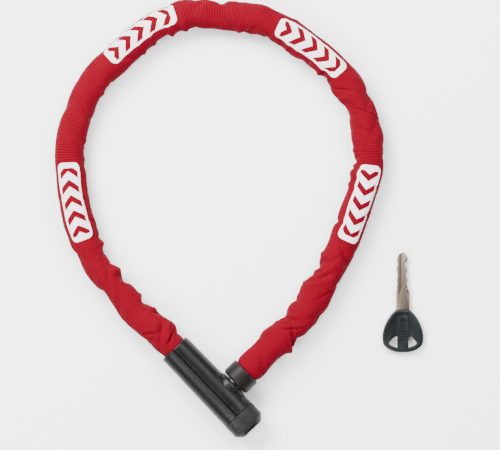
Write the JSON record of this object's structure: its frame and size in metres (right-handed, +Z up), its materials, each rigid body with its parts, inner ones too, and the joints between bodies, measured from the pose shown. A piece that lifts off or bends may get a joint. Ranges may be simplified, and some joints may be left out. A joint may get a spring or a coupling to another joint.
{
  "type": "chain lock",
  "caption": "Chain lock: a ribbed textile sleeve over a square-link steel chain, closed by a plastic-covered cylinder lock body with a side bolt, and its key beside it.",
  "frame": {"origin": "middle of the bounding box's underside, on the floor that the lock lies on", "axes": "+Z up from the floor, +Y from the lock body across the loop, +X to the key's side"},
  "size_m": [0.2998, 0.3554, 0.0274],
  "materials": {
    "cover_plastic": "black moulded plastic, fine grain, soft sheen",
    "cap_plastic": "softer, lighter grey-black moulded plastic",
    "collar_plastic": "slightly warm black moulded plastic",
    "shutter_plastic": "black moulded plastic",
    "casing_steel": "drawn steel tube, dull",
    "pin_steel": "turned steel",
    "housing_zinc": "die-cast zinc, satin",
    "plug_brass": "machined brass",
    "latch_steel": "stamped steel",
    "spring_steel": "drawn spring wire",
    "bolt_steel": "polished hardened steel",
    "chain_steel": "hardened square wire, galvanised",
    "sleeve_textile": "red woven textile with crosswise ribs and pale reflective prints",
    "key_nickel": "nickel-plated brass, brushed",
    "key_plastic": "black moulded plastic, satin, with a bevelled rim"
  },
  "bodies": {
    "lock_body": {"cover_right": "cover_plastic", "cover_left": "cover_plastic", "end_cap": "cap_plastic", "casing": "casing_steel", "anchor_pin": "pin_steel", "housing_pin": "pin_steel", "cylinder_housing": "housing_zinc", "latch_spring": "spring_steel"},
    "keyway_cover": {"keyway_cover": "shutter_plastic"},
    "plug": {"cylinder_plug": "plug_brass", "cam": "latch_steel", "wafer_1": "plug_brass", "wafer_2": "plug_brass", "wafer_3": "plug_brass", "wafer_4": "plug_brass"},
    "latch": {"latch": "latch_steel"},
    "chain_01": {"link_01": "chain_steel"},
    "chain_02": {"link_02": "chain_steel", "sleeve_01": "sleeve_textile"},
    "chain_03": {"link_03": "chain_steel"},
    "chain_04": {"link_04": "chain_steel"},
    "chain_05": {"link_05": "chain_steel", "sleeve_02": "sleeve_textile"},
    "chain_06": {"link_06": "chain_steel"},
    "chain_07": {"link_07": "chain_steel"},
    "chain_08": {"link_08": "chain_steel", "sleeve_03": "sleeve_textile"},
    "chain_09": {"link_09": "chain_steel"},
    "chain_10": {"link_10": "chain_steel"},
    "chain_11": {"link_11": "chain_steel", "sleeve_04": "sleeve_textile"},
    "chain_12": {"link_12": "chain_steel"},
    "chain_13": {"link_13": "chain_steel"},
    "chain_14": {"link_14": "chain_steel", "sleeve_05": "sleeve_textile"},
    "chain_15": {"link_15": "chain_steel"},
    "chain_16": {"link_16": "chain_steel"},
    "chain_17": {"link_17": "chain_steel", "sleeve_06": "sleeve_textile"},
    "chain_18": {"link_18": "chain_steel"},
    "chain_19": {"link_19": "chain_steel"},
    "chain_20": {"link_20": "chain_steel", "sleeve_07": "sleeve_textile"},
    "chain_21": {"link_21": "chain_steel"},
    "chain_22": {"link_22": "chain_steel"},
    "chain_23": {"link_23": "chain_steel", "sleeve_08": "sleeve_textile"},
    "chain_24": {"link_24": "chain_steel"},
    "chain_25": {"link_25": "chain_steel"},
    "chain_26": {"link_26": "chain_steel", "sleeve_09": "sleeve_textile"},
    "chain_27": {"link_27": "chain_steel"},
    "chain_28": {"link_28": "chain_steel"},
    "chain_end": {"bolt": "bolt_steel", "bolt_rivet": "pin_steel", "collar": "collar_plastic"},
    "key": {"key_blade": "key_nickel", "key_bow": "key_plastic"}
  },
  "joints": [
    {"name": "chain_opening", "type": "hinge", "parent": "lock_body", "child": "chain_01", "pos_m": [-0.04313, -0.11499, 0.013], "axis": [0, 0, -1], "range_deg": [0, 1.1]},
    {"name": "chain_02_swing", "type": "hinge", "parent": "chain_01", "child": "chain_02", "pos_m": [-0.06234, -0.09506, 0.01299], "axis": [0, 0, -1], "range_deg": [0, 2.81]},
    {"name": "chain_03_swing", "type": "hinge", "parent": "chain_02", "child": "chain_03", "pos_m": [-0.08255, -0.07616, 0.01219], "axis": [0, 0, -1], "range_deg": [0, 3.18]},
    {"name": "chain_04_swing", "type": "hinge", "parent": "chain_03", "child": "chain_04", "pos_m": [-0.10128, -0.05581, 0.01096], "axis": [0, 0, -1], "range_deg": [0, 2.43]},
    {"name": "chain_05_swing", "type": "hinge", "parent": "chain_04", "child": "chain_05", "pos_m": [-0.11758, -0.03344, 0.0105], "axis": [0, 0, -1], "range_deg": [0, 1.1]},
    {"name": "chain_06_swing", "type": "hinge", "parent": "chain_05", "child": "chain_06", "pos_m": [-0.12801, -0.0078, 0.0105], "axis": [0, 0, -1], "range_deg": [-0.3833, 0]},
    {"name": "chain_07_swing", "type": "hinge", "parent": "chain_06", "child": "chain_07", "pos_m": [-0.1345, 0.01911, 0.0105], "axis": [0, 0, -1], "range_deg": [-1.7, 0]},
    {"name": "chain_08_swing", "type": "hinge", "parent": "chain_07", "child": "chain_08", "pos_m": [-0.1374, 0.04665, 0.0105], "axis": [0, 0, -1], "range_deg": [-2.7, 0]},
    {"name": "chain_09_swing", "type": "hinge", "parent": "chain_08", "child": "chain_09", "pos_m": [-0.13376, 0.07409, 0.0105], "axis": [0, 0, -1], "range_deg": [-3.26, 0]},
    {"name": "chain_10_swing", "type": "hinge", "parent": "chain_09", "child": "chain_10", "pos_m": [-0.12367, 0.09987, 0.0105], "axis": [0, 0, -1], "range_deg": [-3.37, 0]},
    {"name": "chain_11_swing", "type": "hinge", "parent": "chain_10", "child": "chain_11", "pos_m": [-0.107, 0.12197, 0.0105], "axis": [0, 0, -1], "range_deg": [-3.1, 0]},
    {"name": "chain_12_swing", "type": "hinge", "parent": "chain_11", "child": "chain_12", "pos_m": [-0.08667, 0.14076, 0.0105], "axis": [0, 0, -1], "range_deg": [-2.59, 0]},
    {"name": "chain_13_swing", "type": "hinge", "parent": "chain_12", "child": "chain_13", "pos_m": [-0.06331, 0.15561, 0.0105], "axis": [0, 0, -1], "range_deg": [-1.95, 0]},
    {"name": "chain_14_swing", "type": "hinge", "parent": "chain_13", "child": "chain_14", "pos_m": [-0.0369, 0.16391, 0.0105], "axis": [0, 0, -1], "range_deg": [-1.28, 0]},
    {"name": "chain_15_swing", "type": "hinge", "parent": "chain_14", "child": "chain_15", "pos_m": [-0.00923, 0.16462, 0.0105], "axis": [0, 0, -1], "range_deg": [-0.6461, 0]},
    {"name": "chain_16_swing", "type": "hinge", "parent": "chain_15", "child": "chain_16", "pos_m": [0.01799, 0.15957, 0.0105], "axis": [0, 0, -1], "range_deg": [-0.085, 0]},
    {"name": "chain_17_swing", "type": "hinge", "parent": "chain_16", "child": "chain_17", "pos_m": [0.04326, 0.14825, 0.0105], "axis": [0, 0, -1], "range_deg": [0, 0.4163]},
    {"name": "chain_18_swing", "type": "hinge", "parent": "chain_17", "child": "chain_18", "pos_m": [0.0656, 0.13191, 0.0105], "axis": [0, 0, -1], "range_deg": [0, 0.8143]},
    {"name": "chain_19_swing", "type": "hinge", "parent": "chain_18", "child": "chain_19", "pos_m": [0.08518, 0.11233, 0.0105], "axis": [0, 0, -1], "range_deg": [0, 1.14]},
    {"name": "chain_20_swing", "type": "hinge", "parent": "chain_19", "child": "chain_20", "pos_m": [0.09838, 0.088, 0.0105], "axis": [0, 0, -1], "range_deg": [0, 1.39]},
    {"name": "chain_21_swing", "type": "hinge", "parent": "chain_20", "child": "chain_21", "pos_m": [0.10475, 0.06106, 0.0105], "axis": [0, 0, -1], "range_deg": [0, 1.54]},
    {"name": "chain_22_swing", "type": "hinge", "parent": "chain_21", "child": "chain_22", "pos_m": [0.10313, 0.03343, 0.0105], "axis": [0, 0, -1], "range_deg": [0, 1.56]},
    {"name": "chain_23_swing", "type": "hinge", "parent": "chain_22", "child": "chain_23", "pos_m": [0.09551, 0.00681, 0.0105], "axis": [0, 0, -1], "range_deg": [0, 1.44]},
    {"name": "chain_24_swing", "type": "hinge", "parent": "chain_23", "child": "chain_24", "pos_m": [0.08539, -0.01896, 0.0105], "axis": [0, 0, -1], "range_deg": [0, 1.22]},
    {"name": "chain_25_swing", "type": "hinge", "parent": "chain_24", "child": "chain_25", "pos_m": [0.07323, -0.04383, 0.0105], "axis": [0, 0, -1], "range_deg": [0, 0.8892]},
    {"name": "chain_26_swing", "type": "hinge", "parent": "chain_25", "child": "chain_26", "pos_m": [0.059, -0.06757, 0.01096], "axis": [0, 0, -1], "range_deg": [0, 0.4792]},
    {"name": "chain_27_swing", "type": "hinge", "parent": "chain_26", "child": "chain_27", "pos_m": [0.0419, -0.0893, 0.01219], "axis": [0, 0, -1], "range_deg": [0, 0.0336]},
    {"name": "chain_28_swing", "type": "hinge", "parent": "chain_27", "child": "chain_28", "pos_m": [0.02205, -0.10858, 0.01299], "axis": [0, 0, -1], "range_deg": [-0.3611, 0]},
    {"name": "bolt_swing", "type": "hinge", "parent": "chain_28", "child": "chain_end", "pos_m": [0.00212, -0.1278, 0.013], "axis": [0, 0, -1], "range_deg": [-0.608, 0]},
    {"name": "plug_turn", "type": "hinge", "parent": "lock_body", "child": "plug", "pos_m": [-0.00787, -0.1515, 0.013], "axis": [0.6947, -0.7193, 0], "range_deg": [0, 90]},
    {"name": "latch_lift", "type": "slide", "parent": "lock_body", "child": "latch", "axis": [0, 0, 1], "range_m": [0, 0.0044], "deforming": ["latch_spring"]},
    {"name": "keyway_cover_slide", "type": "slide", "parent": "lock_body", "child": "keyway_cover", "axis": [0, 0, 1], "range_m": [0, 0.007]},
    {"name": "key_lift", "type": "slide", "parent": "lock_body", "child": "key", "axis": [0, 0, 1], "range_m": [0, 0.06]}
  ],
  "couplings": [
    {"joint": "chain_02_swing", "follows": "chain_opening", "ratio": 1.6937},
    {"joint": "chain_03_swing", "follows": "chain_opening", "ratio": 1.9193},
    {"joint": "chain_04_swing", "follows": "chain_opening", "ratio": 1.4636},
    {"joint": "chain_05_swing", "follows": "chain_opening", "ratio": 0.66048},
    {"joint": "chain_06_swing", "follows": "chain_opening", "ratio": -0.22466},
    {"joint": "chain_07_swing", "follows": "chain_opening", "ratio": -1.0254},
    {"joint": "chain_08_swing", "follows": "chain_opening", "ratio": -1.6316},
    {"joint": "chain_09_swing", "follows": "chain_opening", "ratio": -1.9696},
    {"joint": "chain_10_swing", "follows": "chain_opening", "ratio": -2.0352},
    {"joint": "chain_11_swing", "follows": "chain_opening", "ratio": -1.8735},
    {"joint": "chain_12_swing", "follows": "chain_opening", "ratio": -1.5639},
    {"joint": "chain_13_swing", "follows": "chain_opening", "ratio": -1.1767},
    {"joint": "chain_14_swing", "follows": "chain_opening", "ratio": -0.7689},
    {"joint": "chain_15_swing", "follows": "chain_opening", "ratio": -0.38384},
    {"joint": "chain_16_swing", "follows": "chain_opening", "ratio": -0.043878},
    {"joint": "chain_17_swing", "follows": "chain_opening", "ratio": 0.2445},
    {"joint": "chain_18_swing", "follows": "chain_opening", "ratio": 0.48579},
    {"joint": "chain_19_swing", "follows": "chain_opening", "ratio": 0.68515},
    {"joint": "chain_20_swing", "follows": "chain_opening", "ratio": 0.83448},
    {"joint": "chain_21_swing", "follows": "chain_opening", "ratio": 0.92278},
    {"joint": "chain_22_swing", "follows": "chain_opening", "ratio": 0.9352},
    {"joint": "chain_23_swing", "follows": "chain_opening", "ratio": 0.86781},
    {"joint": "chain_24_swing", "follows": "chain_opening", "ratio": 0.73031},
    {"joint": "chain_25_swing", "follows": "chain_opening", "ratio": 0.53105},
    {"joint": "chain_26_swing", "follows": "chain_opening", "ratio": 0.28286},
    {"joint": "chain_27_swing", "follows": "chain_opening", "ratio": 0.012713},
    {"joint": "chain_28_swing", "follows": "chain_opening", "ratio": -0.21129},
    {"joint": "bolt_swing", "follows": "chain_opening", "ratio": -0.36059},
    {"joint": "latch_lift", "follows": "plug_turn", "m_per_rad": 0.002791}
  ]
}
